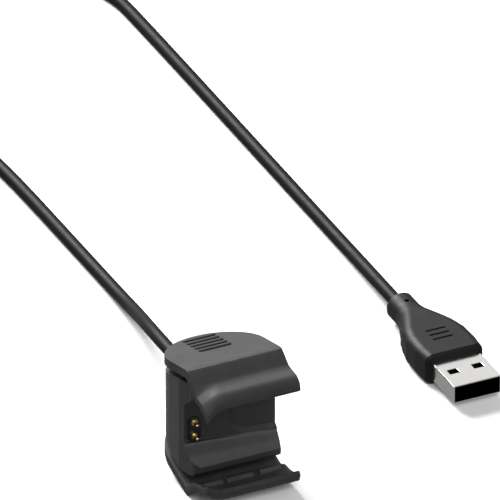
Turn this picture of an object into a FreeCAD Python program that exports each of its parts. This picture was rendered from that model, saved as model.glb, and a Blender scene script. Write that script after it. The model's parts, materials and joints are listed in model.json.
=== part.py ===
"""Spring-jaw charging clip for a wrist tracker, on a thin lead with a flat USB plug.

The clip stands on the front edge of its lower lever.  X runs across the clip, +Y points from
its open mouth to the lead, +Z is up, and the origin is under the middle of the clip's box.
Everything is in millimetres.  The clip is nearly symmetric about its mid-plane, so most of
its shapes are drawn for the upper half as (forward, height) pairs and mirrored: forward is
measured from the front edge of the levers' plates, and height from the mid-plane.
"""
import FreeCAD
import Part
import math
import os

V = FreeCAD.Vector
X_AXIS = V(1, 0, 0)
Z_AXIS = V(0, 0, 1)
FORWARD = V(0, -1, 0)

# The clip's driving dimensions
CORNER_HEIGHT = 16.9        # front edge of each plate above the mid-plane, if it were sharp
REST_TRIM = 0.2             # taken off that edge as a flat, which the clip stands on
MID_Z = CORNER_HEIGHT - REST_TRIM
LEVER_HALF = 12.0
ROUND_BACK = 9.3            # from the plates' front edge back to the centre of the round end
LIP_REACH = 11.5            # from the plates' front edge forward to the tips of the jaws
CLIP_DEPTH = LIP_REACH + ROUND_BACK + LEVER_HALF
EDGE_Y = LIP_REACH - CLIP_DEPTH / 2
PLATE_TILT = math.tan(math.radians(14.85))
PLATE_T = 2.2
TALL = 20.0                 # more than any height above the mid-plane
REACH = 20.0                # and further forward than anything of the clip

# Jaws, as (forward, drop below the plate's front edge), from the plate out to the lip and back
JAW_OUTER = [(0.9, 0.5), (3.1, 2.15), (4.0, 2.65), (5.2, 2.9), (7.8, 3.0), (9.3, 3.7),
             (9.95, 4.5), (10.3, 5.9)]
JAW_INNER = [(9.8, 6.6), (9.0, 6.5), (8.4, 5.4), (7.2, 4.6), (5.6, 4.2), (3.9, 3.7), (2.2, 3.7),
             (0.8, 2.9)]
DRAPE_OUTER = [(0.9, 0.6), (2.6, 1.9), (3.9, 2.9), (5.2, 4.1), (7.5, 4.7), (9.6, 5.6),
               (10.9, 6.6), (11.5, 8.0)]
DRAPE_INNER = [(11.3, 8.6), (10.6, 8.5), (9.9, 7.7), (8.6, 6.9), (7.0, 6.4), (4.9, 6.0),
               (3.0, 5.0), (1.2, 3.6)]
DRAPE_WIDTH = 5.5           # the left end of each jaw droops over this width
DRAPE_STEPS = [0.0, 0.8, 1.7, 2.8, 4.0, 5.5]
LIP_TURN = 9.0              # how far forward a jaw's lip turns in
LOWER_SINK = 0.6            # the lower jaw's straight lip lies this much lower
JAW_ROOT = 1.6              # how far behind the plate's front edge the jaw's sections begin
REST_FRONT = 0.36           # how far the flat reaches in front of that edge

# Grip ribs on the plates, and gripping pads inside the jaws
RIB_COUNT = 5
RIB_PITCH = 2.2
RIB_WIDTH = 1.3
RIB_HEIGHT = 0.4
RIB_FIRST = 10.7            # from the plate's front edge back to the first rib, on the slope
RIB_SPAN = (-4.1, 4.1)
PAD_SPANS = [(-9.1, -4.4), (-3.5, 3.2), (4.9, 10.2)]
PAD_SECTION = [(2.3, 3.7), (3.8, 3.7), (3.6, 4.2), (3.05, 4.4), (2.5, 4.2)]

# Hinges of the two levers
HINGE_BACK = 8.25
HINGE_HEIGHT = 8.5
PIN_R = 0.75
PIN_HALF = 10.0
LUG_X = 6.4
LUG_T = 2.0
LUG_R = 1.75
LUG_HOLE_R = 0.81

# Housing, a D-shaped tub that is open to the front
BODY_HALF = 11.7
WALL = 1.3
ROOF = [(-22.5, 6.2), (-4.5, 12.0), (0.6, 12.1)]
UNDERSIDE = [(-22.5, -5.58), (-3.8, -12.2), (0.6, -12.4)]
CHEEK_T = 1.0
SIDE_BREAK = (-BODY_HALF, -4.85)        # x and forward where the left side turns inwards
SIDE_FRONT = (-10.3, 0.4)               # and where it ends
ROOF_T = 1.45
ROOF_FRONT = -1.6
CAVITY_FRONT = -2.0
SLOT_T = 2.8
SLOT_REACH = 2.7
SLOT_HEIGHTS = (6.0, 14.0)
SPRING_WINDOW = 4.4
BOSS_IN = 8.4
BOSS_SIDE = (-10.2, -6.7)   # from back to front
BOSS_FOOT = 6.9
SHELF_SPAN = (1.4, 4.4)
SHELF = (12.4, 5.9, 1.0)    # how far back its edge is, height of its face, thickness

# Cradle insert, which carries the contacts; its wall leans from the left end to the right
WALL_LEFT = -5.2
WALL_RIGHT = -1.8
CRADLE_LEFT = -BODY_HALF + CHEEK_T
LIP_FRONT = 0.4
LIP_HEIGHT = 10.9
LIP_OUT = 12.1
LIP_T = 1.2
POCKET_LEFT = -11.2
POCKET_CORNER = 4.5
LIP_ROUND = 0.6             # chamfer of the lips' outer front edge
SEAT_BACK = [(0.6, 9.6), (-0.9, 8.8), (-1.4, 6.4)]      # back of the insert from its wall
SEAT_BOWL = [(1.6, 8.9), (0.4, 7.4)]                    # curved floor of the seat
SEAT_WALL_HALF = 5.7        # half height of the flat wall between its curves
RECESS_LEFT = 1.1
RECESS_HALF = 5.6
RECESS_DEPTH = 0.9
RECESS_CORNER = 3.4

# Sprung contacts
CONTACT_X = -7.8
CONTACT_HEIGHTS = {"upper": -0.8, "lower": -4.4}
CARRIER_FRONT = -4.6
CARRIER_HALF = 1.55
CARRIER_L = 3.6
BARREL_R = 0.78
BARREL_BORE = 0.62
BARREL_L = 6.0
BARREL_LIP = 0.35
PLUNGER_R = 0.48
PISTON_R = 0.57
PISTON_L = 1.3
PLUNGER_OUT = 1.75
BOARD_BACK = 11.0
BOARD_T = 0.8
TAIL_R = 0.3

# Lead
CORD_R = 1.6
BOOT_L = 8.0
BOOT_R = 3.0
BOOT_TIP_R = 2.2
BOOT_NECK_R = 2.0
COIL_CENTRE = (0.0, 197.9)
COIL_R_OUT = 22.2
COIL_R_IN = 13.8
COIL_LAYERS = 2
TIE_T = 0.4
TIE_W = 5.0
TIE_ANGLE = 330.0

# Plug, which lies on its broad face and points the way the clip does
PLUG_X = 65.6
PLUG_Y = 14.7               # front face of the moulded grip
GRIP_L = 30.0
PLUG_Z = 3.95
GRIP_TOP = PLUG_Z + 4.0
SHELL_W = 12.0
SHELL_H = 4.5
SHELL_T = 0.3
SHELL_OUT = 12.0
SHELL_IN = 6.5
TONGUE_T = 1.95
CORE_L = 16.5
# Sections of the grip: how far back, half width, half height, corner radius
GRIP_SECTIONS = [
    (0.0, 7.0, 3.5, 1.6), (0.6, 7.4, 4.0, 2.0), (5.0, 7.8, 4.0, 2.2), (10.0, 7.7, 4.0, 2.4),
    (14.0, 6.9, 3.9, 2.6), (18.0, 5.3, 3.8, 2.8), (21.8, 3.9, 3.5, 3.0), (24.4, 3.4, 3.4, 3.1),
    (29.2, 3.4, 3.4, 3.1), (GRIP_L, 2.8, 2.8, 2.6)]
GROOVES = (6.0, 8.0, 10.0)
GROOVE_SIZE = (5.0, 0.7, 0.25)
DIMPLE_BACK = 25.6
DIMPLE_R = 0.6
LATCH_X = 3.1
LATCH_SIZE = (2.5, 2.0)
LATCH_BACK = 5.3            # from the shell's mouth

CLIP_ROUTE = [
    (0.0, 24.1, 16.7), (0.2, 34.0, 16.4), (2.2, 46.0, 13.6), (5.8, 57.8, 8.5), (8.8, 69.2, 4.1),
    (10.1, 80.6, 2.0), (10.3, 92.6, 1.6), (9.9, 150.0, 1.6), (6.4, 161.6, 1.6),
    (-3.8, 169.4, 1.6), (-12.0, 176.0, 1.8), (-19.22, 186.8, 2.0)]
PLUG_ROUTE = [
    (0.0, 220.1, 5.2), (12.0, 220.1, 4.8), (24.0, 221.6, 3.2), (36.0, 224.2, 1.7),
    (50.0, 224.6, 1.6), (61.7, 217.5, 1.6), (67.2, 206.0, 1.6), (67.75, 193.0, 1.6),
    (67.3, 83.5, 1.65), (66.95, 70.7, 2.15), (66.1, 58.2, 3.35), (65.6, 44.7, 3.95)]


def at(x, forward, height):
    """A point of the clip: forward of the plates' front edge, height above the mid-plane."""
    return V(x, EDGE_Y - forward, MID_Z + height)


def outline(points):
    return Part.makePolygon(points + points[:1])


def slab(profile, x0, x1):
    """Side profile of (forward, height) pairs, extruded across the clip."""
    face = Part.Face(outline([at(x0, f, h) for f, h in profile]))
    return face.extrude(V(x1 - x0, 0, 0))


def block(x0, x1, f0, f1, h0, h1):
    """Box between two widths, two forward places and two heights of the clip."""
    low = at(x0, max(f0, f1), min(h0, h1))
    return Part.makeBox(x1 - x0, abs(f1 - f0), abs(h1 - h0), low)


def both(profile):
    """A profile of the upper half, closed by its mirror image below the mid-plane."""
    return profile + [(f, -h) for f, h in reversed(profile)]


def flip(shape):
    """The same shape on the other side of the mid-plane."""
    return shape.mirror(V(0, 0, MID_Z), Z_AXIS)


def with_flip(shape):
    return shape.fuse(flip(shape))


def d_prism(half, reach=REACH):
    """Plan of the clip: straight sides in front and a half round behind."""
    disc = Part.makeCylinder(half, 2 * TALL, at(0, -ROUND_BACK, -TALL), Z_AXIS)
    return block(-half, half, -ROUND_BACK, reach, -TALL, TALL).fuse(disc)


def rod(x, forward, height, radius, length, direction):
    return Part.makeCylinder(radius, length, at(x, forward, height), direction)


def carve(shape, tools):
    """Cut the tools away one after another, since they overlap each other."""
    for tool in tools:
        shape = shape.cut(tool)
    return shape.removeSplitter()


def tidy(shape):
    return shape.removeSplitter()


def route_path(points, report=None):
    """Straight runs joined by tangent arcs, each as large as its two runs allow."""
    edges = []
    start = points[0]
    radii = []
    for before, corner, after in zip(points, points[1:], points[2:]):
        back = before - corner
        on = after - corner
        reach = 0.45 * min(back.Length, on.Length)
        back.normalize()
        on.normalize()
        half_turn = (math.pi - back.getAngle(on)) / 2
        radius = reach / math.tan(half_turn)
        middle = back + on
        middle.normalize()
        enter = corner + back * reach
        leave = corner + on * reach
        bulge = corner + middle * (radius / math.cos(half_turn) - radius)
        edges.append(Part.LineSegment(start, enter).toShape())
        edges.append(Part.Arc(enter, bulge, leave).toShape())
        start = leave
        radii.append(round(radius, 1))
    edges.append(Part.LineSegment(start, points[-1]).toShape())
    if report:
        print(report, "bend radii", radii)
    return Part.Wire(edges)


def tube(points, radius, report=None):
    """Round bar along a route of points."""
    points = [V(*p) for p in points]
    path = route_path(points, report)
    ring = Part.Wire(Part.Circle(points[0], points[1] - points[0], radius).toShape())
    solid = path.makePipeShell([ring], True, False)
    if report:
        ideal = math.pi * radius ** 2 * path.Length
        print(report, "length", round(path.Length, 1), "volume ratio", round(solid.Volume / ideal, 4))
    return solid


# ---- levers -------------------------------------------------------------------------------

def plate_top(forward):
    return CORNER_HEIGHT + forward * PLATE_TILT


def plate_underside(forward):
    return plate_top(forward) - PLATE_T / math.cos(math.atan(PLATE_TILT))


def lip_share(forward):
    """0 at the plate, 1 at the jaw's lip."""
    return min(1.0, max(0.0, forward / LIP_TURN))


def jaw_section(x, drape, lift):
    """Section of a jaw, between its straight form and its drooping left end."""
    shares = [(1 - drape) * a + drape * b
              for straight, drooped in zip(JAW_OUTER + JAW_INNER, DRAPE_OUTER + DRAPE_INNER)
              for a, b in zip(straight, drooped)]
    front = [at(x, f, CORNER_HEIGHT - drop + lift * lip_share(f) * (1 - drape))
             for f, drop in zip(shares[0::2], shares[1::2])]
    rest = [at(x, -REST_TRIM / PLATE_TILT, MID_Z), at(x, REST_FRONT, MID_Z)]
    root = [at(x, -JAW_ROOT, plate_underside(-JAW_ROOT)), at(x, -JAW_ROOT, plate_top(-JAW_ROOT))]
    return outline(rest + front + root)


def jaw_front(lift):
    """Front of a lever: a ruled loft through sections that droop at the left end."""
    sections = [jaw_section(-LEVER_HALF + step, (1 - step / DRAPE_WIDTH) ** 2, lift)
                for step in DRAPE_STEPS]
    sections.append(jaw_section(LEVER_HALF, 0.0, lift))
    return Part.makeLoft(sections, True, True)


def hinge_lug(x):
    """Ear under the plate, with the hole that the hinge pin runs in."""
    top = plate_underside(-HINGE_BACK) + 1.2
    web = block(x - LUG_T / 2, x + LUG_T / 2, -HINGE_BACK - LUG_R, -HINGE_BACK + LUG_R,
                HINGE_HEIGHT, top)
    eye = rod(x - LUG_T / 2, -HINGE_BACK, HINGE_HEIGHT, LUG_R, LUG_T, X_AXIS)
    return web.fuse(eye)


def jaw_lever(lift=0.0):
    """Upper lever; lift moves its straight lip away from the mid-plane."""
    back = -2 * LEVER_HALF
    plate = slab([(-JAW_ROOT, plate_top(-JAW_ROOT)), (-JAW_ROOT, plate_underside(-JAW_ROOT)),
                  (back, plate_underside(back)), (back, plate_top(back))],
                 -LEVER_HALF, LEVER_HALF).common(d_prism(LEVER_HALF))
    lever = plate.fuse([jaw_front(lift), hinge_lug(-LUG_X), hinge_lug(LUG_X)])
    hole = rod(-PIN_HALF, -HINGE_BACK, HINGE_HEIGHT, LUG_HOLE_R, 2 * PIN_HALF, X_AXIS)
    return carve(lever, [hole])


def grip_ribs():
    """Rubber bars with round ends and a crowned top, bonded across the plate."""
    x0, x1 = RIB_SPAN
    r = RIB_WIDTH / 2
    ribs = []
    for i in range(RIB_COUNT):
        y = RIB_FIRST + i * RIB_PITCH
        bar = Part.makeBox(x1 - x0 - 2 * r, RIB_WIDTH, RIB_HEIGHT, V(x0 + r, y - r, 0))
        for x in (x0 + r, x1 - r):
            bar = bar.fuse(Part.makeCylinder(r, RIB_HEIGHT, V(x, y, 0), Z_AXIS))
        bar = tidy(bar)
        crown = [e for e in bar.Edges if e.BoundBox.ZMin > RIB_HEIGHT - 1e-3]
        ribs.append(bar.makeFillet(0.3, crown))
    group = Part.makeCompound(ribs)
    group.rotate(V(0, 0, 0), X_AXIS, -math.degrees(math.atan(PLATE_TILT)))
    group.translate(at(0, 0, CORNER_HEIGHT))
    return group


def jaw_pads(lift=0.0):
    """Gripping pads on the ridge inside the upper jaw."""
    section = [(f, CORNER_HEIGHT - drop + lift * lip_share(f)) for f, drop in PAD_SECTION]
    return Part.makeCompound([slab(section, x0, x1) for x0, x1 in PAD_SPANS])


# ---- housing and cradle -------------------------------------------------------------------

def wall_place(x):
    """How far forward the cradle's wall stands at x."""
    share = (x - CRADLE_LEFT) / (BODY_HALF - CRADLE_LEFT)
    return WALL_LEFT + share * (WALL_RIGHT - WALL_LEFT)


def cradle_loft(profile, x0, x1):
    """Loft across the clip of a profile that is drawn relative to the cradle's leaning wall."""
    def section(x):
        wall = wall_place(x)
        return outline([at(x, f if fixed else wall + f, h) for f, h, fixed in profile])
    return Part.makeLoft([section(x0), section(x1)], True, True)


def cradle_envelope(front):
    """What the insert fills of the housing, as far forward as front."""
    upper = [(front, LIP_OUT - 1.5 * LIP_ROUND, True), (front - LIP_ROUND, LIP_OUT, True),
             (ROOF_FRONT, LIP_OUT, True), (ROOF_FRONT, LIP_HEIGHT, True)]
    upper += [(f, h, False) for f, h in SEAT_BACK]
    profile = upper + [(f, -h, fixed) for f, h, fixed in reversed(upper)]
    return cradle_loft(profile, CRADLE_LEFT, BODY_HALF)


def pocket_hollow(deeper=0.0):
    """Space in front of the cradle's wall, with its curved floor and roof."""
    inside = LIP_HEIGHT - LIP_T
    upper = [(REACH, inside, True), (-0.2, inside, True)]
    upper += [(f, h, False) for f, h in SEAT_BOWL] + [(-deeper, SEAT_WALL_HALF, False)]
    profile = upper + [(f, -h, fixed) for f, h, fixed in reversed(upper)]
    return cradle_loft(profile, -BODY_HALF, BODY_HALF + 1)


def rounded_window(left, half, corner):
    """Prism along Y, open to the right, with its left corners rounded."""
    right = BODY_HALF + 2
    side = block(left + corner, right, -REACH, REACH, -half, half)
    middle = block(left, left + corner, -REACH, REACH, -half + corner, half - corner)
    shape = side.fuse(middle)
    for h in (-half + corner, half - corner):
        shape = shape.fuse(rod(left + corner, REACH, h, corner, 2 * REACH, -FORWARD))
    return shape


def slanted_side():
    """What is cut away where the left side turns inwards towards the mouth."""
    (x0, f0), (x1, f1) = SIDE_BREAK, SIDE_FRONT
    beyond = (x1 + (x1 - x0), f1 + (f1 - f0))
    plan = [(x0, f0), beyond, (x0 - 1, beyond[1]), (x0 - 1, f0)]
    face = Part.Face(outline([at(x, f, -TALL) for x, f in plan]))
    return face.extrude(V(0, 0, 2 * TALL))


def pocket():
    """The seat's hollow, with its left corners rounded."""
    return pocket_hollow().common(
        rounded_window(POCKET_LEFT, LIP_HEIGHT - LIP_T, POCKET_CORNER))


def cradle_insert():
    shape = cradle_envelope(LIP_FRONT)
    recess = pocket_hollow(RECESS_DEPTH).common(
        rounded_window(RECESS_LEFT, RECESS_HALF, RECESS_CORNER))
    return carve(shape, [pocket(), recess, slanted_side(), carrier_solid()])


def housing_outer():
    side = ROOF + UNDERSIDE[::-1]
    return slab(side, -BODY_HALF, BODY_HALF).common(d_prism(BODY_HALF))


def housing_shell():
    """D-shaped tub with slots for the levers' ears, bosses for the pins and spring shelves."""
    top, bottom = ROOF[1][1] - ROOF_T, UNDERSIDE[1][1] + ROOF_T
    inside = [(f, h - ROOF_T) for f, h in ROOF[:2]] + [(CAVITY_FRONT, top), (CAVITY_FRONT, bottom)]
    inside += [(f, h + ROOF_T) for f, h in UNDERSIDE[1::-1]]
    cavity = slab(inside, -BODY_HALF, BODY_HALF).common(d_prism(BODY_HALF - WALL))
    boss = block(BOSS_IN, BODY_HALF - WALL, *BOSS_SIDE, BOSS_FOOT, TALL)
    bosses = boss.fuse(boss.mirror(V(0, 0, 0), X_AXIS))
    shelf_back, shelf_top, shelf_t = SHELF
    shelf = block(*SHELF_SPAN, -ROUND_BACK - BODY_HALF, -shelf_back, shelf_top - shelf_t, shelf_top)
    bosses = with_flip(bosses.fuse(shelf)).common(housing_outer())
    tub = housing_outer().cut(cavity).fuse(bosses)

    roof_trim = block(CRADLE_LEFT, BODY_HALF + 1, ROOF_FRONT, 5, -15, 15)
    widths = [(x - SLOT_T / 2, x + SLOT_T / 2) for x in (-LUG_X, LUG_X)]
    widths.append((-SPRING_WINDOW, SPRING_WINDOW))
    openings = [block(*width, -HINGE_BACK - SLOT_REACH, -HINGE_BACK + SLOT_REACH, *SLOT_HEIGHTS)
                for width in widths]
    openings += [flip(o) for o in openings]
    pin_holes = [rod(-PIN_HALF, -HINGE_BACK, h, PIN_R, 2 * PIN_HALF, X_AXIS)
                 for h in (-HINGE_HEIGHT, HINGE_HEIGHT)]
    cord_hole = rod(0, -ROUND_BACK, 0, BOOT_NECK_R, 15, -FORWARD)
    return carve(tub, [cradle_envelope(REACH), roof_trim, slanted_side(), pocket(), cord_hole]
                 + openings + pin_holes)


# ---- contacts and electronics -------------------------------------------------------------

def carrier_solid():
    """Stadium-shaped insulator that holds both barrels in the cradle's wall."""
    r, length = CARRIER_HALF, CARRIER_L
    high, low = CONTACT_HEIGHTS["upper"], CONTACT_HEIGHTS["lower"]
    shape = block(CONTACT_X - r, CONTACT_X + r, CARRIER_FRONT - length, CARRIER_FRONT, low, high)
    for h in (low, high):
        shape = shape.fuse(rod(CONTACT_X, CARRIER_FRONT, h, r, length, -FORWARD))
    return tidy(shape)


def contact_carrier():
    bores = [rod(CONTACT_X, CARRIER_FRONT + 1, h, BARREL_R, 10, -FORWARD)
             for h in CONTACT_HEIGHTS.values()]
    return carve(carrier_solid(), bores)


def pogo_barrel(height):
    """Turned tube, crimped at the front, with a tail that is soldered into the board."""
    body = rod(CONTACT_X, CARRIER_FRONT, height, BARREL_R, BARREL_L, -FORWARD)
    bore = rod(CONTACT_X, CARRIER_FRONT - BARREL_LIP, height, BARREL_BORE,
               BARREL_L - BARREL_LIP - 0.4, -FORWARD)
    mouth = rod(CONTACT_X, CARRIER_FRONT + 1, height, PLUNGER_R + 0.04, 2, -FORWARD)
    tail = rod(CONTACT_X, CARRIER_FRONT - BARREL_L, height, TAIL_R, 1.8, -FORWARD)
    return carve(body.fuse(tail), [bore, mouth])


def pogo_plunger(height):
    """Gold pin with a round tip and a piston that keeps it in its barrel."""
    tip = CARRIER_FRONT + PLUNGER_OUT
    shaft_l = PLUNGER_OUT + BARREL_LIP + 0.03 - PLUNGER_R
    shaft = rod(CONTACT_X, tip - PLUNGER_R, height, PLUNGER_R, shaft_l, -FORWARD)
    piston = rod(CONTACT_X, CARRIER_FRONT - BARREL_LIP - 0.03, height, PISTON_R, PISTON_L, -FORWARD)
    dome = Part.makeSphere(PLUNGER_R, at(CONTACT_X, tip - PLUNGER_R, height))
    return tidy(shaft.fuse([piston, dome]))


def coil_route(centre, axis_dir, side_dir, radius, length, turns, points_per_turn=8):
    """Corner points of a helix about axis_dir that starts on side_dir."""
    up_dir = axis_dir.cross(side_dir)
    count = int(turns * points_per_turn)
    corner = radius / math.cos(math.pi / points_per_turn) ** 0.5
    route = []
    for i in range(count + 1):
        angle = 2 * math.pi * i / points_per_turn
        route.append(centre + axis_dir * (length * i / count)
                     + side_dir * (corner * math.cos(angle)) + up_dir * (corner * math.sin(angle)))
    return route


def pogo_spring(height):
    wire_r = 0.07
    front = CARRIER_FRONT - BARREL_LIP - 0.03 - PISTON_L - wire_r - 0.02
    back = CARRIER_FRONT - BARREL_L + 0.4 + wire_r + 0.02
    return tube(coil_route(at(CONTACT_X, front, height), -FORWARD, X_AXIS, 0.42,
                           front - back, 6), wire_r)


def torsion_spring():
    """Coil round the hinge pin: one leg lifts the plate's tail, the other rests on the shelf."""
    wire_r = 0.25
    coil_r = 1.45
    half = 3.0
    centre = at(-half, -HINGE_BACK, HINGE_HEIGHT)
    coil = coil_route(centre, X_AXIS, Z_AXIS, coil_r, 2 * half, 4.5)
    lift_end = at(-half, -14.0, plate_underside(-14.0) - wire_r - 0.35)
    rest_end = at(half, -14.5, SHELF[1] + wire_r + 0.05)
    return tube([lift_end] + coil + [rest_end], wire_r)


def circuit_board():
    board = block(-9.4, 1.2, -BOARD_BACK - BOARD_T, -BOARD_BACK, -6.2, 4.6)
    holes = [rod(CONTACT_X, -BOARD_BACK + 1, h, TAIL_R + 0.05, 3, -FORWARD)
             for h in CONTACT_HEIGHTS.values()]
    return carve(board, holes)


def lead_wire(side):
    """Insulated core from its solder pad on the board to the lead's boot."""
    wire_r = 0.45
    back = BOARD_BACK + BOARD_T
    route = [at(-3.2, -back, 2.4 * side), at(-3.0, -back - 1.9, 2.3 * side),
             at(-1.5, -back - 3.6, 1.4 * side), at(-0.6, -17.4, 0.75 * side)]
    return tube(route, wire_r)


# ---- lead ---------------------------------------------------------------------------------

def cord_strain_relief():
    """Boot moulded on the lead: flange inside the housing, neck in its wall, ribbed cone behind."""
    wall_back = -ROUND_BACK - BODY_HALF
    cone = Part.makeCone(BOOT_R, BOOT_TIP_R, BOOT_L + 1, at(0, wall_back + 1, 0), -FORWARD)
    grooves = []
    for i in range(3):
        place = at(0, wall_back - 2.2 - 1.7 * i, 0)
        outer = Part.makeCylinder(BOOT_R + 1, 0.7, place, -FORWARD)
        grooves.append(outer.cut(Part.makeCylinder(BOOT_TIP_R - 0.1, 0.7, place, -FORWARD)))
    cone = carve(cone, [housing_outer()] + grooves)
    neck = rod(0, wall_back + 3.0, 0, BOOT_NECK_R, 3.5, -FORWARD)
    flange = rod(0, -17.4, 0, 2.8, 1.9, -FORWARD)
    return tidy(cone.fuse([neck, flange]))


def cord_coil():
    """Outer shape of the wound turns."""
    height = 2 * CORD_R * COIL_LAYERS + 0.2
    base = V(COIL_CENTRE[0], COIL_CENTRE[1], TIE_T)
    outer = Part.makeCylinder(COIL_R_OUT + CORD_R, height, base, Z_AXIS)
    return outer.cut(Part.makeCylinder(COIL_R_IN - CORD_R, height, base, Z_AXIS))


def cord_tie():
    """Flat strap round the bundle of turns."""
    inner, outer = COIL_R_IN - CORD_R, COIL_R_OUT + CORD_R
    height = 2 * CORD_R * COIL_LAYERS + 0.2
    strap = Part.makeBox(outer - inner + 2 * TIE_T, TIE_W, height + 2 * TIE_T,
                         V(inner - TIE_T, -TIE_W / 2, 0))
    strap = strap.cut(Part.makeBox(outer - inner, TIE_W, height, V(inner, -TIE_W / 2, TIE_T)))
    strap.rotate(V(0, 0, 0), Z_AXIS, TIE_ANGLE)
    strap.translate(V(COIL_CENTRE[0], COIL_CENTRE[1], 0))
    return strap


# ---- plug ---------------------------------------------------------------------------------

def grip_section(back, half_width, half_height, corner):
    """Rounded rectangle across the plug, so far behind the grip's front face."""
    y = PLUG_Y + back
    w, h, r = half_width, half_height, corner
    bend = r * (1 - math.sqrt(0.5))
    edges = []
    corners = [(1, 1), (-1, 1), (-1, -1), (1, -1)]
    for i, (sx, sz) in enumerate(corners):
        side_end = (sx * w, sz * (h - r))
        top_end = (sx * (w - r), sz * h)
        first, last = (side_end, top_end) if i % 2 == 0 else (top_end, side_end)
        middle = (sx * (w - bend), sz * (h - bend))
        arc = [V(PLUG_X + x, y, PLUG_Z + z) for x, z in (first, middle, last)]
        edges.append(Part.Arc(*arc).toShape())
    joined = []
    for i, arc in enumerate(edges):
        after = edges[(i + 1) % 4]
        joined.append(arc)
        joined.append(Part.LineSegment(arc.Vertexes[-1].Point, after.Vertexes[0].Point).toShape())
    return Part.Wire(joined)


def plug_box(width, height, y0, y1, z_mid=PLUG_Z):
    low = V(PLUG_X - width / 2, PLUG_Y + y0, z_mid - height / 2)
    return Part.makeBox(width, y1 - y0, height, low)


def plug_grip():
    """Moulded grip: flat and broad in front, narrowing to a round neck for the lead."""
    body = Part.makeLoft([grip_section(*s) for s in GRIP_SECTIONS], True, True)
    hollow = plug_box(SHELL_W, SHELL_H, -1, CORE_L)
    width, across, deep = GROOVE_SIZE
    marks = [Part.makeBox(width, across, 1.0, V(PLUG_X - width / 2, PLUG_Y + y, GRIP_TOP - deep))
             for y in GROOVES]
    dimple = Part.makeCylinder(DIMPLE_R, 1.0, V(PLUG_X, PLUG_Y + DIMPLE_BACK, PLUG_Z + 2.5), Z_AXIS)
    flat = Part.makeBox(4 * SHELL_W, GRIP_L, 1.0, V(PLUG_X - 2 * SHELL_W, PLUG_Y, -1.0))
    return carve(body, [hollow, dimple, flat] + marks)


def plug_shell():
    """Folded steel shell with the two latch windows in each broad face."""
    outer = plug_box(SHELL_W, SHELL_H, -SHELL_OUT, SHELL_IN)
    inner = plug_box(SHELL_W - 2 * SHELL_T, SHELL_H - 2 * SHELL_T, -SHELL_OUT, SHELL_IN)
    windows = [Part.makeBox(*LATCH_SIZE, SHELL_H + 2,
                            V(PLUG_X + x - LATCH_SIZE[0] / 2, PLUG_Y - SHELL_OUT + LATCH_BACK,
                              PLUG_Z - SHELL_H / 2 - 1))
               for x in (-LATCH_X, LATCH_X)]
    return carve(outer, [inner] + windows)


def tongue_top():
    return PLUG_Z - SHELL_H / 2 + SHELL_T + TONGUE_T


def plug_tongue():
    return plug_box(SHELL_W - 2 * SHELL_T, TONGUE_T, -SHELL_OUT + 0.4, 2.0,
                    tongue_top() - TONGUE_T / 2)


def plug_contacts():
    """Four spring-bronze strips on top of the tongue."""
    strips = []
    for x, setback in ((-3.5, 1.0), (-1.0, 2.0), (1.0, 2.0), (3.5, 1.0)):
        low = V(PLUG_X + x - 0.5, PLUG_Y - SHELL_OUT + 0.4 + setback, tongue_top())
        strips.append(Part.makeBox(1.0, SHELL_OUT + 1.6 - setback, 0.2, low))
    return Part.makeCompound(strips)


def plug_core():
    """Inner moulding that closes the shell behind the tongue."""
    in_shell = plug_box(SHELL_W - 2 * SHELL_T, SHELL_H - 2 * SHELL_T, 2.0, SHELL_IN)
    behind = plug_box(SHELL_W, SHELL_H, SHELL_IN, CORE_L)
    return tidy(in_shell.fuse(behind))


# ---- all the pieces -----------------------------------------------------------------------

def hinge_pin(height):
    return rod(-PIN_HALF, -HINGE_BACK, height, PIN_R, 2 * PIN_HALF, X_AXIS)


def all_parts():
    ribs = grip_ribs()
    spring = torsion_spring()
    parts = {
        "upper_jaw_lever": jaw_lever(), "lower_jaw_lever": flip(jaw_lever(LOWER_SINK)),
        "upper_grip_ribs": ribs, "lower_grip_ribs": flip(ribs),
        "upper_jaw_pads": jaw_pads(), "lower_jaw_pads": flip(jaw_pads(LOWER_SINK)),
        "upper_torsion_spring": spring, "lower_torsion_spring": flip(spring),
        "upper_hinge_pin": hinge_pin(HINGE_HEIGHT), "lower_hinge_pin": hinge_pin(-HINGE_HEIGHT),
        "housing_shell": housing_shell(),
        "cradle_insert": cradle_insert(),
        "contact_carrier": contact_carrier(),
        "circuit_board": circuit_board(),
        "wire_positive": lead_wire(1), "wire_negative": lead_wire(-1),
        "cord_strain_relief": cord_strain_relief(),
        "cord_clip_run": tube(CLIP_ROUTE, CORD_R, "cord_clip_run"),
        "cord_coil": cord_coil(),
        "cord_tie": cord_tie(),
        "cord_plug_run": tube(PLUG_ROUTE, CORD_R, "cord_plug_run"),
        "plug_grip": plug_grip(),
        "plug_shell": plug_shell(),
        "plug_tongue": plug_tongue(),
        "plug_contacts": plug_contacts(),
        "plug_core": plug_core(),
    }
    for name, height in CONTACT_HEIGHTS.items():
        parts["pogo_barrel_" + name] = pogo_barrel(height)
        parts["pogo_pin_" + name] = pogo_plunger(height)
        parts["pogo_spring_" + name] = pogo_spring(height)
    return parts


def main():
    os.makedirs("parts", exist_ok=True)
    for name, shape in all_parts().items():
        print(name, "solids", len(shape.Solids), "valid", shape.isValid())
        shape.exportStep(os.path.join("parts", name + ".step"))


main()
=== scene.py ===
"""Looks of the tracker charging clip: finished meshes, materials, lead, light and camera.

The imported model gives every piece's place.  Lengths are written in millimetres and turned into
metres by MM where they meet Blender.
"""

import json
import math

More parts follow.
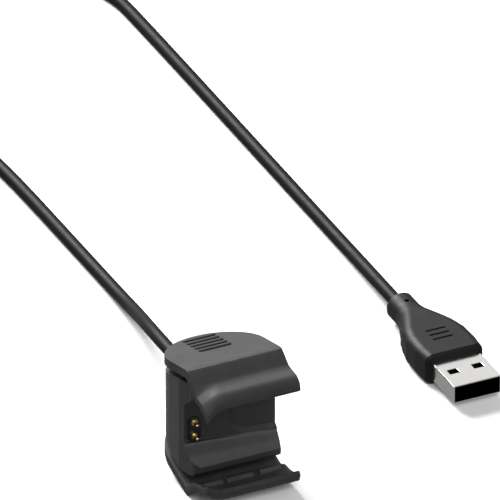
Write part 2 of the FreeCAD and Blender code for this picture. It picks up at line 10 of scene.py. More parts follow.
import bmesh
import bpy
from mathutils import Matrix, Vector
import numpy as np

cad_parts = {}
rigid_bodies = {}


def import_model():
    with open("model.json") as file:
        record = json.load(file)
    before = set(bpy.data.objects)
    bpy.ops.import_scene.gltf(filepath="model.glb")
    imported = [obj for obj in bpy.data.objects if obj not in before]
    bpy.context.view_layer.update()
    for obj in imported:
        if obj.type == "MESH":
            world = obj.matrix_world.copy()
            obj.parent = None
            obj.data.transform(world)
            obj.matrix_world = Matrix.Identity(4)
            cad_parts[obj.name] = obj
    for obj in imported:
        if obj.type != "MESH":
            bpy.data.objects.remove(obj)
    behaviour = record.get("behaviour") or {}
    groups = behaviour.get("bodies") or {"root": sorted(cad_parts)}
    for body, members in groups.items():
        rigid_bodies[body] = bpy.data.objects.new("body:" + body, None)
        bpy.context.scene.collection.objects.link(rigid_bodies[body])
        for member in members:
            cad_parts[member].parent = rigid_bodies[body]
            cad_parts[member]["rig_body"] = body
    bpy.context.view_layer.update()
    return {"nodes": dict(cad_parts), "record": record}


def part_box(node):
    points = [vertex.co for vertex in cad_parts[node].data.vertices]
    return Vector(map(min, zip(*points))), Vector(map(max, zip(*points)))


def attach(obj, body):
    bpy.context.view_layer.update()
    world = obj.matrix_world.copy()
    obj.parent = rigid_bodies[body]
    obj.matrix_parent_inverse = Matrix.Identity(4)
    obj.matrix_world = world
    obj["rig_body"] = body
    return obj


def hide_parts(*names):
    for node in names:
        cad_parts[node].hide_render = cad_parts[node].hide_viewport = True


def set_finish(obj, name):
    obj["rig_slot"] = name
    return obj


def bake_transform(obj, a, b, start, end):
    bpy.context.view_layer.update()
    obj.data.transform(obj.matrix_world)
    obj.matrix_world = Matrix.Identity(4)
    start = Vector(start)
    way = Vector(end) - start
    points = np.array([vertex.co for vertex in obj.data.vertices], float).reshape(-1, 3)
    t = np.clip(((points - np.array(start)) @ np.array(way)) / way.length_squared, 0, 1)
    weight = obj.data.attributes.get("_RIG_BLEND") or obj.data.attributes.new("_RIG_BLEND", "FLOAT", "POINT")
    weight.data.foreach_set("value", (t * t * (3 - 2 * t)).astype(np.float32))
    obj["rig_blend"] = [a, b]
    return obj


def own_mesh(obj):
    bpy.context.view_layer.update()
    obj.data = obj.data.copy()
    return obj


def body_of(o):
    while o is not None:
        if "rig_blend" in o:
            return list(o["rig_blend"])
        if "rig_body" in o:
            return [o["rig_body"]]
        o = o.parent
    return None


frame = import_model()

MM = 0.001

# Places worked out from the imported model
lever_low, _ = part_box("upper_jaw_lever")
pin_low, pin_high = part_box("upper_hinge_pin")
lower_pin_low, lower_pin_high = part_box("lower_hinge_pin")
LIP_REACH = 11.5
EDGE_Y = lever_low.y + LIP_REACH * MM
MID_Z = (pin_low.z + lower_pin_high.z) / 2

# Lead
CORD_R = 1.6
CLIP_ROUTE = [
    (0.0, 24.1, 16.7), (0.2, 34.0, 16.4), (2.2, 46.0, 13.6), (5.8, 57.8, 8.5), (8.8, 69.2, 4.1),
    (10.1, 80.6, 2.0), (10.3, 92.6, 1.6), (9.9, 150.0, 1.6), (6.4, 161.6, 1.6),
    (-3.8, 169.4, 1.6), (-12.0, 176.0, 1.8), (-19.22, 186.8, 2.0)]
PLUG_ROUTE = [
    (0.0, 220.1, 5.2), (12.0, 220.1, 4.8), (24.0, 221.6, 3.2), (36.0, 224.2, 1.7),
    (50.0, 224.6, 1.6), (61.7, 217.5, 1.6), (67.2, 206.0, 1.6), (67.75, 193.0, 1.6),
    (67.3, 83.5, 1.65), (66.95, 70.7, 2.15), (66.1, 58.2, 3.35), (65.6, 44.7, 3.95)]
COIL_CENTRE = (0.0, 197.9)
COIL_R_OUT = 22.2
COIL_R_IN = 13.8
COIL_ENTRY = math.radians(210)
COIL_TURNS = 8 / 3
COIL_STEPS = 14             # points of each turn
LOWER_LAYER = 2.0
UPPER_LAYER = 5.2


def coil_points():
    """Turns of the coil: inwards along the lower layer, then outwards along the upper one."""
    bulge = 1 / math.cos(math.pi / COIL_STEPS) ** 0.5
    count = round(COIL_TURNS * COIL_STEPS)
    points = []
    for i in range(2 * count + 1):
        turned = i / COIL_STEPS
        share = i / count if i <= count else 2 - i / count
        radius = (COIL_R_OUT + (COIL_R_IN - COIL_R_OUT) * share) * bulge
        climb = min(max((i - count) / 4 + 0.5, 0.0), 1.0)
        angle = COIL_ENTRY - 2 * math.pi * turned
        points.append((COIL_CENTRE[0] + radius * math.cos(angle),
                       COIL_CENTRE[1] + radius * math.sin(angle),
                       LOWER_LAYER + (UPPER_LAYER - LOWER_LAYER) * climb))
    return points


def lead_curve():
    """The whole lead as one smooth line with a round section."""
    route = CLIP_ROUTE + coil_points()[1:-1] + PLUG_ROUTE
    data = bpy.data.curves.new("lead", "CURVE")
    data.dimensions = "3D"
    data.bevel_depth = 1.0      # times each point's radius
    data.bevel_resolution = 6
    data.resolution_u = 6
    data.use_fill_caps = True
    line = data.splines.new("NURBS")
    line.points.add(len(route) - 1)
    for point, place in zip(line.points, route):
        point.co = (place[0] * MM, place[1] * MM, place[2] * MM, 1.0)
        point.radius = CORD_R * MM
    line.order_u = 3
    line.use_endpoint_u = True
    lead = bpy.data.objects.new("lead", data)
    bpy.context.collection.objects.link(lead)
    return lead


# ---- finishes -----------------------------------------------------------------------------

def new_finish(name):
    """A material with its shader, and the object coordinates that its patterns read."""
    finish = bpy.data.materials.new(name)
    finish.use_nodes = True
    nodes = finish.node_tree.nodes
    shader = nodes["Principled BSDF"]
    place = nodes.new("ShaderNodeTexCoord").outputs["Object"]
    return finish, shader, place


def add_pattern(finish, place, size, detail=3.0, stretch=(1, 1, 1)):
    """Cloudy pattern whose spots are about size millimetres wide, before stretching."""
    nodes, links = finish.node_tree.nodes, finish.node_tree.links
    mapping = nodes.new("ShaderNodeMapping")
    mapping.inputs["Scale"].default_value = stretch
    links.new(place, mapping.inputs["Vector"])
    pattern = nodes.new("ShaderNodeTexNoise")
    pattern.inputs["Scale"].default_value = 1 / (size * MM)
    pattern.inputs["Detail"].default_value = detail
    pattern.inputs["Roughness"].default_value = 0.6
    links.new(mapping.outputs["Vector"], pattern.inputs["Vector"])
    return pattern.outputs["Fac"]


def spread(finish, factor, low, high):
    """Turns a pattern of about 0.3 to 0.7 into values from low to high."""
    node = finish.node_tree.nodes.new("ShaderNodeMapRange")
    node.inputs["From Min"].default_value = 0.3
    node.inputs["From Max"].default_value = 0.7
    node.inputs["To Min"].default_value = low
    node.inputs["To Max"].default_value = high
    finish.node_tree.links.new(factor, node.inputs["Value"])
    return node.outputs["Result"]


def shade_between(finish, factor, dark, light):
    node = finish.node_tree.nodes.new("ShaderNodeMix")
    node.data_type = "RGBA"
    node.inputs["A"].default_value = (*dark, 1.0)
    node.inputs["B"].default_value = (*light, 1.0)
    finish.node_tree.links.new(factor, node.inputs["Factor"])
    return node.outputs["Result"]


def emboss(finish, shader, height, depth, strength=1.0):
    """Bump of this depth in millimetres."""
    node = finish.node_tree.nodes.new("ShaderNodeBump")
    node.inputs["Strength"].default_value = strength
    node.inputs["Distance"].default_value = depth * MM
    finish.node_tree.links.new(height, node.inputs["Height"])
    finish.node_tree.links.new(node.outputs["Normal"], shader.inputs["Normal"])


def moulded(name, colour, rough, grain=0.22, depth=0.012, specular=0.5):
    """Plastic or rubber from a spark-eroded mould: fine grain, faint clouds of shade and gloss."""
    finish, shader, place = new_finish(name)
    clouds = spread(finish, add_pattern(finish, place, 6.0), 0.0, 1.0)
    dark = tuple(c * 0.85 for c in colour)
    light = tuple(c * 1.15 for c in colour)
    links = finish.node_tree.links
    links.new(shade_between(finish, clouds, dark, light), shader.inputs["Base Color"])
    gloss = add_pattern(finish, place, 2.5, 5.0)
    links.new(spread(finish, gloss, rough - 0.04, rough + 0.05), shader.inputs["Roughness"])
    shader.inputs["Specular IOR Level"].default_value = specular
    emboss(finish, shader, add_pattern(finish, place, grain, 2.0), depth)
    return finish


def plated(name, colour, rough, stretch=(1, 1, 1), size=0.8, depth=0.003):
    """Polished or drawn metal with faint marks along the way it was worked."""
    finish, shader, place = new_finish(name)
    marks = add_pattern(finish, place, size, 4.0, stretch)
    links = finish.node_tree.links
    dark = tuple(c * 0.9 for c in colour)
    links.new(shade_between(finish, spread(finish, marks, 0.0, 1.0), dark, colour),
              shader.inputs["Base Color"])
    links.new(spread(finish, marks, rough * 0.8, rough * 1.3), shader.inputs["Roughness"])
    shader.inputs["Metallic"].default_value = 1.0
    emboss(finish, shader, marks, depth, 0.6)
    return finish


def make_finishes():
    return {
        "lever_plastic": moulded("matte_lever_plastic", (0.029, 0.029, 0.0296), 0.6,
                                 specular=0.28),
        "housing_plastic": moulded("matte_housing_plastic", (0.031, 0.031, 0.0316), 0.5),
        "cradle_plastic": moulded("satin_cradle_plastic", (0.030, 0.030, 0.031), 0.50, 0.18, 0.008),
        "grip_rubber": moulded("matte_grip_rubber", (0.008, 0.008, 0.008), 0.62, 0.12, 0.01, 0.35),
        "pad_rubber": moulded("soft_pad_rubber", (0.045, 0.045, 0.046), 0.36, 0.3, 0.006, 0.7),
        "pin_steel": plated("ground_pin_steel", (0.62, 0.62, 0.63), 0.25, (0.1, 1, 1)),
        "spring_steel": plated("drawn_spring_wire", (0.5, 0.5, 0.51), 0.3),
        "carrier_plastic": moulded("carrier_plastic", (0.01, 0.01, 0.01), 0.3, 0.25, 0.003),
        "contact_gold": plated("polished_contact_gold", (0.93, 0.72, 0.38), 0.18, size=0.3),
        "barrel_brass": plated("turned_barrel_gold", (0.80, 0.58, 0.27), 0.28, (1, 6, 1), 0.4),
        "board_laminate": moulded("green_board_laminate", (0.02, 0.13, 0.05), 0.35, 0.5, 0.004),
        "core_red": moulded("red_core_insulation", (0.42, 0.02, 0.015), 0.4, 0.3, 0.004),
        "core_black": moulded("black_core_insulation", (0.02, 0.02, 0.02), 0.4, 0.3, 0.004),
        "lead_jacket": moulded("satin_lead_jacket", (0.003, 0.003, 0.0032), 0.5, 0.4, 0.006, 0.12),
        "tie_rubber": moulded("matte_tie_rubber", (0.02, 0.02, 0.02), 0.6, 0.25, 0.012),
        "grip_plastic": moulded("matte_plug_plastic", (0.0065, 0.0065, 0.0067), 0.5, 0.2, 0.010,
                                0.2),
        "shell_nickel": plated("nickel_plated_shell", (0.78, 0.77, 0.75), 0.16, (1, 0.15, 1), 0.5),
        "tongue_plastic": moulded("tongue_plastic", (0.012, 0.012, 0.013), 0.38, 0.3, 0.004),
    }


def finish_pieces(finishes):
    """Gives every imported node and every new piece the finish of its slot."""
    slots = {sub["node"]: sub["material_slot"] for sub in frame["record"]["subparts"]}
    painted = [(node, slots[name]) for name, node in frame["nodes"].items()]
    painted += [(piece, piece["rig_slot"]) for piece in bpy.data.objects if "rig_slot" in piece]
    for piece, slot in painted:
        piece.data.materials.clear()
        piece.data.materials.append(finishes[slot])


# ---- modelling by hand --------------------------------------------------------------------

def at(x, forward, height):
    """A point of the clip: forward of the plates' front edge, height above the mid-plane."""
    return Vector((x * MM, EDGE_Y - forward * MM, MID_Z + height * MM))


def nothing_selected():
    if bpy.context.mode != "OBJECT":
        bpy.ops.object.mode_set(mode="OBJECT")
    bpy.ops.object.select_all(action="DESELECT")


def make_active(piece):
    """Selects this piece alone."""
    nothing_selected()
    piece.select_set(True)
    bpy.context.view_layer.objects.active = piece


def edit(piece, kind="VERT"):
    """Edit mode on one piece with nothing selected in it."""
    make_active(piece)
    bpy.ops.object.mode_set(mode="EDIT")
    bpy.ops.mesh.select_mode(type=kind)
    bpy.ops.mesh.select_all(action="DESELECT")


def pick(piece, kind, test):
    """Selects the vertices, edges or faces that pass the test, and says how many there are."""
    mesh = bmesh.from_edit_mesh(piece.data)
    bpy.ops.mesh.select_all(action="DESELECT")
    found = [item for item in getattr(mesh, kind) if test(item)]
    for item in found:
        item.select_set(True)
    mesh.select_flush_mode()
    bmesh.update_edit_mesh(piece.data)
    return len(found)


def cut(point, normal, drop=None):
    """Bisects the whole mesh; drop names the side of the plane that goes away."""
    bpy.ops.mesh.select_all(action="SELECT")
    bpy.ops.mesh.bisect(plane_co=point, plane_no=normal, use_fill=drop is not None,
                        clear_outer=drop == "front", clear_inner=drop == "behind",
                        threshold=0.001 * MM)


def modify(piece, kind, **settings):
    """Adds a modifier with these settings and applies it."""
    make_active(piece)
    modifier = piece.modifiers.new(kind.lower(), kind)
    for name, value in settings.items():
        setattr(modifier, name, value)
    bpy.ops.object.modifier_apply(modifier=modifier.name)


def soften(piece, width, segments=3, angle=30.0):
    """Rounds every edge that is sharper than the angle, and smooths the rest."""
    modify(piece, "BEVEL", width=width * MM, segments=segments, limit_method="ANGLE",
           angle_limit=math.radians(angle), use_clamp_overlap=True, miter_outer="MITER_ARC")
    smooth(piece)


def smooth(piece, angle=35.0):
    """Smooth shading, except over edges sharper than the angle."""
    make_active(piece)
    bpy.ops.object.shade_smooth_by_angle(angle=math.radians(angle))
    modify(piece, "WEIGHTED_NORMAL", keep_sharp=True, weight=50)


def point_outwards(piece):
    """Merges doubled vertices and turns every face outwards."""
    edit(piece)
    bpy.ops.mesh.select_all(action="SELECT")
    bpy.ops.mesh.remove_doubles(threshold=0.002 * MM)
    bpy.ops.mesh.normals_make_consistent(inside=False)
    bpy.ops.object.mode_set(mode="OBJECT")


def settle(piece):
    """Takes the piece's place into its mesh, so that its object sits at the origin."""
    make_active(piece)
    bpy.ops.object.transform_apply(location=True, rotation=True, scale=True)


def add_box(name, low, high):
    """Box between two opposite corners, in any order."""
    nothing_selected()
    corners = list(zip(low, high))
    low = Vector([min(pair) for pair in corners])
    high = Vector([max(pair) for pair in corners])
    bpy.ops.mesh.primitive_cube_add(size=1.0, location=(low + high) / 2)
    piece = bpy.context.object
    piece.name = name
    piece.scale = high - low
    settle(piece)
    return piece


def add_rod(name, centre, radius, length, axis, sides=48):
    nothing_selected()
    turn = {"X": (0, math.pi / 2, 0), "Y": (math.pi / 2, 0, 0), "Z": (0, 0, 0)}[axis]
    bpy.ops.mesh.primitive_cylinder_add(vertices=sides, radius=radius * MM, depth=length * MM,
                                        location=centre, rotation=turn)
    piece = bpy.context.object
    piece.name = name
    settle(piece)
    return piece


def carve(piece, tool, operation="DIFFERENCE"):
    """Boolean with a tool that is then thrown away."""
    modify(piece, "BOOLEAN", operation=operation, object=tool, solver="EXACT")
    bpy.data.objects.remove(tool)


def eased(points, steps=4):
    """More points along a smooth line through the given ones."""
    line = []
    ends = [points[0]] + points + [points[-1]]
    for a, b, c, d in zip(ends, ends[1:], ends[2:], ends[3:]):
        for i in range(steps):
            t = i / steps
            line.append(tuple(
                0.5 * (2 * q + (r - p) * t + (2 * p - 5 * q + 4 * r - s) * t ** 2
                       + (3 * q - p - 3 * r + s) * t ** 3)
                for p, q, r, s in zip(a, b, c, d)))
    line.append(points[-1])
    return line


# ---- levers -------------------------------------------------------------------------------

LEVER_HALF = 12.0
ROUND_BACK = 9.3
CORNER_HEIGHT = 16.9
PLATE_SLOPE = math.tan(math.radians(14.85))
PLATE_T = 2.28              # measured straight down
JAW_ROOT = 1.6
REST_TRIM = 0.2             # the flat on the plates' front edge, which the clip stands on
TALL = 25.0
LUG_X = 6.4
HINGE_BACK = 8.25
HINGE_HEIGHT = 8.5
EAR_R = 1.75
EAR_WIDTH = 2.0
EAR_RISE = 3.0              # how far the ear reaches up into the plate
EAR_HOLE_R = 0.81
FACES_FRONT = -0.99         # a face whose normal's y is below this faces the front

# Sections of a jaw from the plate to the lip, as (forward, drop): its outside and its inside
JAW_OUTSIDE = [(0.0, 0.05), (0.9, 0.55), (2.2, 1.45), (3.13, 2.15), (3.94, 2.62), (5.18, 2.86),
               (6.6, 2.93), (8.1, 3.05), (9.3, 3.65), (9.95, 4.5), (10.3, 5.9)]
JAW_INSIDE = [(-0.4, 2.35), (0.6, 2.8), (1.5, 3.4), (2.4, 3.7), (3.4, 3.75), (4.6, 3.9),
              (6.0, 4.25), (7.3, 4.7), (8.4, 5.4), (9.1, 6.2), (9.6, 6.6)]
DRAPE_OUTSIDE = [(0.0, 0.05), (0.9, 0.6), (1.9, 1.35), (2.8, 2.2), (3.7, 3.1), (5.0, 4.2),
                 (6.5, 4.6), (8.1, 4.95), (9.7, 5.7), (10.9, 6.6), (11.5, 8.0)]
DRAPE_INSIDE = [(-0.4, 2.4), (0.4, 3.1), (1.3, 3.9), (2.2, 4.6), (3.2, 5.3), (4.6, 5.9),
                (6.1, 6.2), (7.6, 6.6), (9.0, 7.2), (10.3, 8.1), (11.2, 8.6)]
LOWER_SINK = 0.6            # the lower jaw's lip lies this much lower than the mirror image
DRAPE_WIDTH = 5.5
DRAPE_LOOPS = [0.5, 1.1, 1.8, 2.6, 3.5, 4.5, 5.5]


def lever_plate(name):
    """Plate of the upper lever: a round end cut out of a cylinder, and a straight front."""
    plate = add_rod(name, at(0, -ROUND_BACK, CORNER_HEIGHT), LEVER_HALF, TALL, "Z", 128)
    edit(plate)
    slope = Vector((0, PLATE_SLOPE, 1))
    cut(at(0, 0, CORNER_HEIGHT), slope, "front")
    cut(at(0, 0, CORNER_HEIGHT - PLATE_T), slope, "behind")
    cut(at(0, -ROUND_BACK, 0), (0, -1, 0), "front")
    pick(plate, "faces", lambda f: f.normal.y < FACES_FRONT)
    reach = ROUND_BACK - JAW_ROOT
    bpy.ops.mesh.extrude_region_move(
        TRANSFORM_OT_translate={"value": (0, -reach * MM, reach * PLATE_SLOPE * MM)})
    for step in DRAPE_LOOPS:
        cut(at(-LEVER_HALF + step, 0, 0), (1, 0, 0))
    return plate


def drape_share(x):
    """1 at the drooping left end of a jaw, 0 where its straight part begins."""
    step = x + LEVER_HALF
    return max(0.0, 1 - step / DRAPE_WIDTH) ** 2


def jaw_place(straight, drape, x, sink=0.0):
    """Where a point of the section lies at x; sink moves the lip away from the mid-plane."""
    share = drape_share(x)
    forward, drop = ((1 - share) * a + share * b for a, b in zip(straight, drape))
    lip = min(1.0, max(0.0, forward / 9.0))
    return at(x, forward, CORNER_HEIGHT - drop + sink * lip * (1 - share))


def pull_jaw(lever, sink):
    """Extrudes the plate's front face along the jaw's section, row by row."""
    columns = [-LEVER_HALF] + [-LEVER_HALF + step for step in DRAPE_LOOPS] + [LEVER_HALF]
    front = JAW_ROOT
    pick(lever, "faces", lambda f: f.normal.y < FACES_FRONT)
    last = {}
    for x in columns:
        top = at(x, -front, CORNER_HEIGHT - front * PLATE_SLOPE)
        last[x] = (top, top - Vector((0, 0, PLATE_T * MM)))
    rows = zip(eased(JAW_OUTSIDE), eased(DRAPE_OUTSIDE), eased(JAW_INSIDE), eased(DRAPE_INSIDE))
    for outside, outside_drape, inside, inside_drape in rows:
        bpy.ops.mesh.extrude_region_move(TRANSFORM_OT_translate={"value": (0, 0, 0)})
        mesh = bmesh.from_edit_mesh(lever.data)
        moved = [v for v in mesh.verts if v.select]
        after = {x: (jaw_place(outside, outside_drape, x, sink),
                     jaw_place(inside, inside_drape, x, sink)) for x in columns}
        for vertex in moved:
            x = min(columns, key=lambda column: abs(column * MM - vertex.co.x))
            side = 0 if (vertex.co - last[x][0]).length < (vertex.co - last[x][1]).length else 1
            vertex.co = after[x][side]
        bmesh.update_edit_mesh(lever.data)
        last = after


def hinge_ear(x):
    """Ear under the plate, with the hole that the hinge pin runs in."""
    ear = add_rod("ear", at(x, -HINGE_BACK, HINGE_HEIGHT), EAR_R, EAR_WIDTH, "X")
    edit(ear, "FACE")
    pick(ear, "faces", lambda f: f.normal.z > 0.3)
    bpy.ops.mesh.extrude_region_move(TRANSFORM_OT_translate={"value": (0, 0, EAR_RISE * MM)})
    bpy.ops.object.mode_set(mode="OBJECT")
    carve(ear, add_rod("hole", at(x, -HINGE_BACK, HINGE_HEIGHT), EAR_HOLE_R,
                       3 * EAR_WIDTH, "X"))
    return ear


def jaw_lever(name, sink=0.0):
    lever = lever_plate(name)
    pull_jaw(lever, sink)
    cut(at(0, 0, CORNER_HEIGHT - REST_TRIM), (0, 0, 1), "front")
    bpy.ops.object.mode_set(mode="OBJECT")
    point_outwards(lever)
    soften(lever, 0.28, 3, 38.0)
    for x in (-LUG_X, LUG_X):
        carve(lever, hinge_ear(x), "UNION")
    smooth(lever)
    return lever


def turn_over(piece):
    """Mirrors the piece to the other side of the clip's mid-plane."""
    edit(piece)
    bpy.ops.mesh.select_all(action="SELECT")
    bpy.ops.transform.resize(value=(1, 1, -1), center_override=(0, 0, MID_Z))
    bpy.ops.mesh.flip_normals()
    bpy.ops.object.mode_set(mode="OBJECT")


def add_levers():
    upper = jaw_lever("upper_lever")
    lower = jaw_lever("lower_lever", LOWER_SINK)
    turn_over(lower)
    for piece, side in ((upper, "upper"), (lower, "lower")):
        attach(piece, side + "_jaw")
        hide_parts(side + "_jaw_lever")
        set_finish(piece, "lever_plastic")


# ---- cradle insert ------------------------------------------------------------------------

BODY_HALF = 11.7
CRADLE_LEFT = -10.7
WALL_LEFT = -5.2
WALL_RIGHT = -1.8
WALL_T = 1.4
LIP_FRONT = 0.4
LIP_OUT = 12.1              # outer height of the lips in front of the housing
LIP_BACK = 10.9             # and inside it
HOUSING_FRONT = -1.5
SEAT_HALF = 5.4             # half height of the seat's flat wall
# Floor of the seat: share of the way from the wall to the lip's front, and half height
SEAT_BOWL = [(0.0, 5.4), (0.06, 6.2), (0.3, 7.1), (0.6, 8.1), (0.85, 9.2), (1.0, 10.0),
             (1.1, 10.6)]
MOUTH_HALF = 10.4           # half height of the seat where it opens to the front
SEAT_CORNER = 4.5
SIDE_BREAK = (-11.7, -4.85)
SIDE_FRONT = (-10.3, 0.4)
POCKET_LEFT = -11.2
RECESS_LEFT = 1.1
RECESS_TOP = 5.4
RECESS_FOOT = -4.7
RECESS_DEPTH = 0.95
RECESS_CORNER = 3.2
RECESS_SLOPE = 0.75
CONTACT_X = -7.8
CONTACT_HEIGHTS = (-0.8, -4.4)
CARRIER_HALF = 1.55


def wall_place(x):
    """How far forward the seat's wall stands at x."""
    share = (x - CRADLE_LEFT) / (BODY_HALF - CRADLE_LEFT)
    return WALL_LEFT + share * (WALL_RIGHT - WALL_LEFT)


def lean(piece, forward_of):
    """Moves vertices along Y so that a straight place becomes wall_place plus an offset."""
    mesh = bmesh.from_edit_mesh(piece.data)
    for vertex in mesh.verts:
        offset = forward_of(vertex)
        if offset is not None:
            vertex.co.y = EDGE_Y - (wall_place(vertex.co.x / MM) + offset) * MM
    bmesh.update_edit_mesh(piece.data)


def round_edges(piece, test, width, segments):
    """Bevels the edges that pass the test."""
    if pick(piece, "edges", test):
        bpy.ops.mesh.bevel(offset=width * MM, segments=segments, affect="EDGES")


def runs_along(edge, axis, least=0.9):
    """Whether the edge is nearly parallel to an axis."""
    a, b = edge.verts
    return abs((b.co - a.co).normalized()[axis]) > least


def seat_tool():
    """The hollow of the seat: its upright wall curves forward into the floor and the roof."""
    tool = add_box("seat", at(POCKET_LEFT - 1, WALL_RIGHT, -SEAT_HALF),
                   at(BODY_HALF + 8, WALL_RIGHT + 1, SEAT_HALF))
    edit(tool, "FACE")
    pick(tool, "faces", lambda f: f.normal.y < -0.9)
    lean(tool, lambda v: 0.0 if v.select else -0.1)
    last = SEAT_HALF
    for share, half in eased(SEAT_BOWL, 3)[1:]:
        bpy.ops.mesh.extrude_region_move(TRANSFORM_OT_translate={"value": (0, 0, 0)})
        bpy.ops.transform.resize(value=(1, 1, half / last), center_override=(0, 0, MID_Z))
        lean(tool, lambda v: share * (LIP_FRONT - wall_place(v.co.x / MM)) if v.select else None)
        last = half
    bpy.ops.mesh.extrude_region_move(TRANSFORM_OT_translate={"value": (0, -6 * MM, 0)})
    bpy.ops.object.mode_set(mode="OBJECT")
    point_outwards(tool)
    window = add_box("window", at(POCKET_LEFT, -20, -MOUTH_HALF),
                     at(BODY_HALF + 12, 20, MOUTH_HALF))
    edit(window, "FACE")
    round_edges(window, lambda e: all(v.co.x < 0 for v in e.verts) and runs_along(e, 1),
                SEAT_CORNER, 12)
    bpy.ops.object.mode_set(mode="OBJECT")
    carve(tool, window, "INTERSECT")
    return tool


def recess_tool():
    """Shallow recess for the tracker's sensor, with sloping sides and round left corners."""
    middle = (RECESS_TOP + RECESS_FOOT) / 2
    half = (RECESS_TOP - RECESS_FOOT) / 2
    outer = half + 2 * RECESS_SLOPE
    tool = add_box("recess", at(RECESS_LEFT - 2 * RECESS_SLOPE, -6, middle - outer),
                   at(BODY_HALF + 8, LIP_FRONT, middle + outer))
    edit(tool, "FACE")
    back = at(0, -5, 0).y
    pick(tool, "faces", lambda f: f.normal.y > 0.9)
    bpy.ops.transform.resize(value=(1, 1, half / outer), center_override=at(0, 0, middle))
    pick(tool, "verts", lambda v: v.co.x < 0 and v.co.y > back)
    bpy.ops.transform.translate(value=(2 * RECESS_SLOPE * MM, 0, 0))
    lean(tool, lambda v: -RECESS_DEPTH if v.co.y > back else RECESS_DEPTH)
    left = at(RECESS_LEFT + 1, 0, 0).x
    round_edges(tool, lambda e: all(v.co.x < left for v in e.verts) and runs_along(e, 1, 0.5),
                RECESS_CORNER, 10)
    bpy.ops.object.mode_set(mode="OBJECT")
    point_outwards(tool)
    return tool


def add_cradle():
    """Front moulding of the clip: seat, lips and recess, and the hole for the contacts."""
    cradle = add_box("cradle", at(CRADLE_LEFT, -8, -LIP_OUT),
                     at(BODY_HALF + 4, LIP_FRONT, LIP_OUT))
    edit(cradle, "EDGE")
    round_edges(cradle, lambda e: runs_along(e, 0) and e.verts[0].co.y < at(0, 0.3, 0).y, 1.0, 4)
    left_back = at(CRADLE_LEFT, WALL_LEFT - WALL_T, 0)
    right_back = at(BODY_HALF, WALL_RIGHT - WALL_T, 0)
    along = right_back - left_back
    cut(left_back, (-along.y, along.x, 0), "front")
    side_break = at(*SIDE_BREAK, 0)
    along = at(*SIDE_FRONT, 0) - side_break
    cut(side_break, (along.y, -along.x, 0), "front")
    cut(at(BODY_HALF, 0, 0), (1, 0, 0), "front")
    bpy.ops.object.mode_set(mode="OBJECT")
    for side in (-1, 1):
        carve(cradle, add_box("step", at(CRADLE_LEFT - 2, -9, side * LIP_BACK),
                              at(BODY_HALF + 6, HOUSING_FRONT, side * (LIP_OUT + 2))))
    carve(cradle, seat_tool())
    carve(cradle, recess_tool())
    high, low = CONTACT_HEIGHTS
    for height in CONTACT_HEIGHTS:
        carve(cradle, add_rod("hole", at(CONTACT_X, -5, height), CARRIER_HALF, 8, "Y"))
    carve(cradle, add_box("slot", at(CONTACT_X - CARRIER_HALF, -9, low),
                          at(CONTACT_X + CARRIER_HALF, -1, high)))
    point_outwards(cradle)
    soften(cradle, 0.2, 3, 25.0)
    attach(cradle, "clip_body")
    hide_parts("cradle_insert")
    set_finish(cradle, "cradle_plastic")


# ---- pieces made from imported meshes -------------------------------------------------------

SPRING_HALF = 2.9           # half length of a hinge spring's coil
FLAT_ANGLE = math.radians(0.4)  # faces that meet at less than this are made one


def own_copy(name, node, slot):
    """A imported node's mesh, merged, as a piece that can be softened or bent."""
    piece = bpy.data.objects.new(name, frame["nodes"][node].data.copy())
    bpy.context.collection.objects.link(piece)
    edit(piece)
    bpy.ops.mesh.select_all(action="SELECT")
    bpy.ops.mesh.remove_doubles(threshold=0.001 * MM)
    bpy.ops.object.mode_set(mode="OBJECT")
    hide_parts(node)
    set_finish(piece, slot)
    return piece


def softened_copy(name, node, slot, width):
    """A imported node's own mesh with its sharp edges rounded."""
    piece = own_copy(name, node, slot)
    edit(piece)
    bpy.ops.mesh.select_all(action="SELECT")
    bpy.ops.mesh.dissolve_limited(angle_limit=FLAT_ANGLE)
    bpy.ops.object.mode_set(mode="OBJECT")
    soften(piece, width, 3, 25.0)
    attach(piece, body_of(frame["nodes"][node])[0])
    return piece


def add_springs():
    """Hinge springs that twist with their levers, and contact springs that keep their imported shape.

    A hinge spring still passes through the housing when its jaw is open.
    """
    for side, pin_z in (("upper", pin_low.z), ("lower", lower_pin_low.z)):
        twisted = own_copy(side + "_hinge_spring", side + "_torsion_spring", "spring_steel")
        pin_y = (pin_low.y + pin_high.y) / 2
        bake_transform(twisted, "clip_body", side + "_jaw",
                 start=(SPRING_HALF * MM, pin_y, pin_z), end=(-SPRING_HALF * MM, pin_y, pin_z))
        smooth(twisted, 60.0)
        pressed = own_copy(side + "_contact_spring", "pogo_spring_" + side, "spring_steel")
        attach(pressed, "clip_body")
        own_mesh(pressed)
        smooth(pressed, 60.0)


# ---- camera, light and floor --------------------------------------------------------------

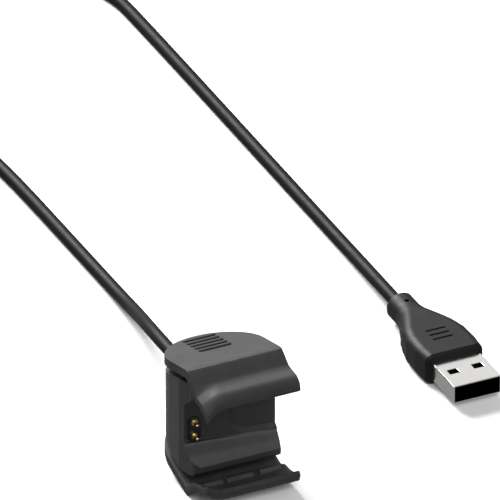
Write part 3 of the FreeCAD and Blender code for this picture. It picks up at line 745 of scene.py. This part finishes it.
def add_camera():
    """Long lens from the front left, above the clip."""
    target = Vector((0.0476, 0.0873, 0.0))
    distance = 4.864
    azimuth, elevation = math.radians(-25.3), math.radians(31.1)
    away = Vector((math.sin(azimuth) * math.cos(elevation),
                   -math.cos(azimuth) * math.cos(elevation), math.sin(elevation)))
    data = bpy.data.cameras.new("camera")
    data.lens = 1500.0
    data.sensor_width = 36.0
    data.clip_start = 0.1
    data.clip_end = 20.0
    camera = bpy.data.objects.new("camera", data)
    camera.location = target + away * distance
    camera.rotation_mode = "QUATERNION"
    camera.rotation_quaternion = (-away).to_track_quat("-Z", "Y")
    bpy.context.collection.objects.link(camera)
    bpy.context.scene.camera = camera


def add_light(name, place, target, size, power):
    data = bpy.data.lights.new(name, "AREA")
    data.shape = "SQUARE"
    data.size = size
    data.energy = power
    light = bpy.data.objects.new(name, data)
    light.location = place
    light.rotation_mode = "QUATERNION"
    light.rotation_quaternion = (Vector(target) - Vector(place)).to_track_quat("-Z", "Y")
    bpy.context.collection.objects.link(light)


def add_studio():
    """White table, even surroundings, a soft light from behind and above, and two weak ones."""
    bpy.ops.mesh.primitive_plane_add(size=6.0, location=(0, 0, 0))
    floor = bpy.context.object
    floor.name = "floor"
    paint = bpy.data.materials.new("white_table")
    paint.use_nodes = True
    shader = paint.node_tree.nodes["Principled BSDF"]
    shader.inputs["Base Color"].default_value = (0.9, 0.9, 0.9, 1.0)
    shader.inputs["Roughness"].default_value = 0.9
    floor.data.materials.append(paint)
    floor.visible_glossy = False
    floor.visible_diffuse = False
    world = bpy.data.worlds.new("studio")
    world.use_nodes = True
    world.node_tree.nodes["Background"].inputs["Color"].default_value = (1.0, 1.0, 1.0, 1.0)
    world.node_tree.nodes["Background"].inputs["Strength"].default_value = 0.34
    bpy.context.scene.world = world
    add_light("key", (-0.10, 0.74, 0.60), (0.03, 0.05, 0.0), 0.5, 19.0)
    add_light("front", (-0.12, -0.66, 0.66), (0.03, 0.0, 0.0), 0.5, 4.4)
    add_light("card", (0.43, 0.79, 0.52), (0.065, 0.01, 0.005), 0.3, 0.18)
    bpy.context.scene.view_settings.view_transform = "Standard"


add_levers()
add_cradle()
softened_copy("housing", "housing_shell", "housing_plastic", 0.16)
add_springs()
usb_shell = softened_copy("usb_shell", "plug_shell", "shell_nickel", 0.1)
usb_tongue = softened_copy("usb_tongue", "plug_tongue", "tongue_plastic", 0.12)
lead = lead_curve()
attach(lead, "clip_body")
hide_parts("cord_clip_run", "cord_coil", "cord_plug_run")
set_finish(lead, "lead_jacket")
finish_pieces(make_finishes())
add_camera()
add_studio()
